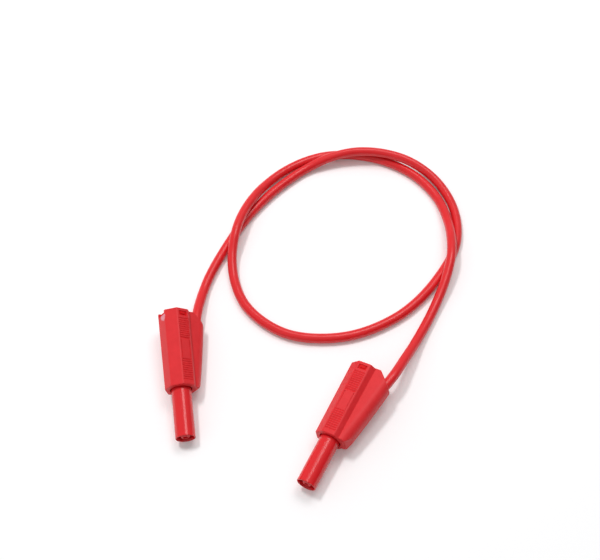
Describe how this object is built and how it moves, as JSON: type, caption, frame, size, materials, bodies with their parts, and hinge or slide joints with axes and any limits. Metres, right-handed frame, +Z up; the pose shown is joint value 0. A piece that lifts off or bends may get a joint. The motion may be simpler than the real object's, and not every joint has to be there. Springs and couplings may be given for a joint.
{
  "type": "test lead",
  "caption": "Flexible test lead laid in a loose ring, with a stackable 4 mm plug in a retracting safety sleeve at each end.",
  "frame": {"origin": "on the table, under the centre of the box round the two plugs", "axes": "+Z up, square to the table; +Y away from the viewer of the picture; +X to the viewer's right"},
  "size_m": [0.1369, 0.1788, 0.0178],
  "materials": {
    "housing_red": "matt red polyamide",
    "sleeve_red": "glossy red plastic",
    "cable_red": "smooth red silicone with a soft sheen",
    "nickel": "nickel-plated brass",
    "spring_steel": "bright wire",
    "cage_bronze": "spring bronze",
    "copper": "bare stranded copper"
  },
  "bodies": {
    "lead": {"left_housing": "housing_red", "left_socket_insert": "housing_red", "left_sleeve_spring": "spring_steel", "left_contact": "nickel", "left_pin_cage": "cage_bronze", "left_crimp_lug": "nickel", "left_conductor": "copper", "right_housing": "housing_red", "right_socket_insert": "housing_red", "right_sleeve_spring": "spring_steel", "right_contact": "nickel", "right_pin_cage": "cage_bronze", "right_crimp_lug": "nickel", "right_conductor": "copper", "cable": "cable_red"},
    "left_sleeve": {"left_sleeve": "sleeve_red"},
    "right_sleeve": {"right_sleeve": "sleeve_red"}
  },
  "joints": [
    {"name": "left_sleeve_slide", "type": "slide", "parent": "lead", "child": "left_sleeve", "axis": [-0.1383, 0.984, 0.1123], "range_m": [0, 0.0183], "stiffness_N_per_m": 80, "springref_m": -0.012, "deforming": ["left_sleeve_spring"]},
    {"name": "right_sleeve_slide", "type": "slide", "parent": "lead", "child": "right_sleeve", "axis": [0.4552, 0.8896, 0.0366], "range_m": [0, 0.0183], "stiffness_N_per_m": 80, "springref_m": -0.012, "deforming": ["right_sleeve_spring"]}
  ]
}
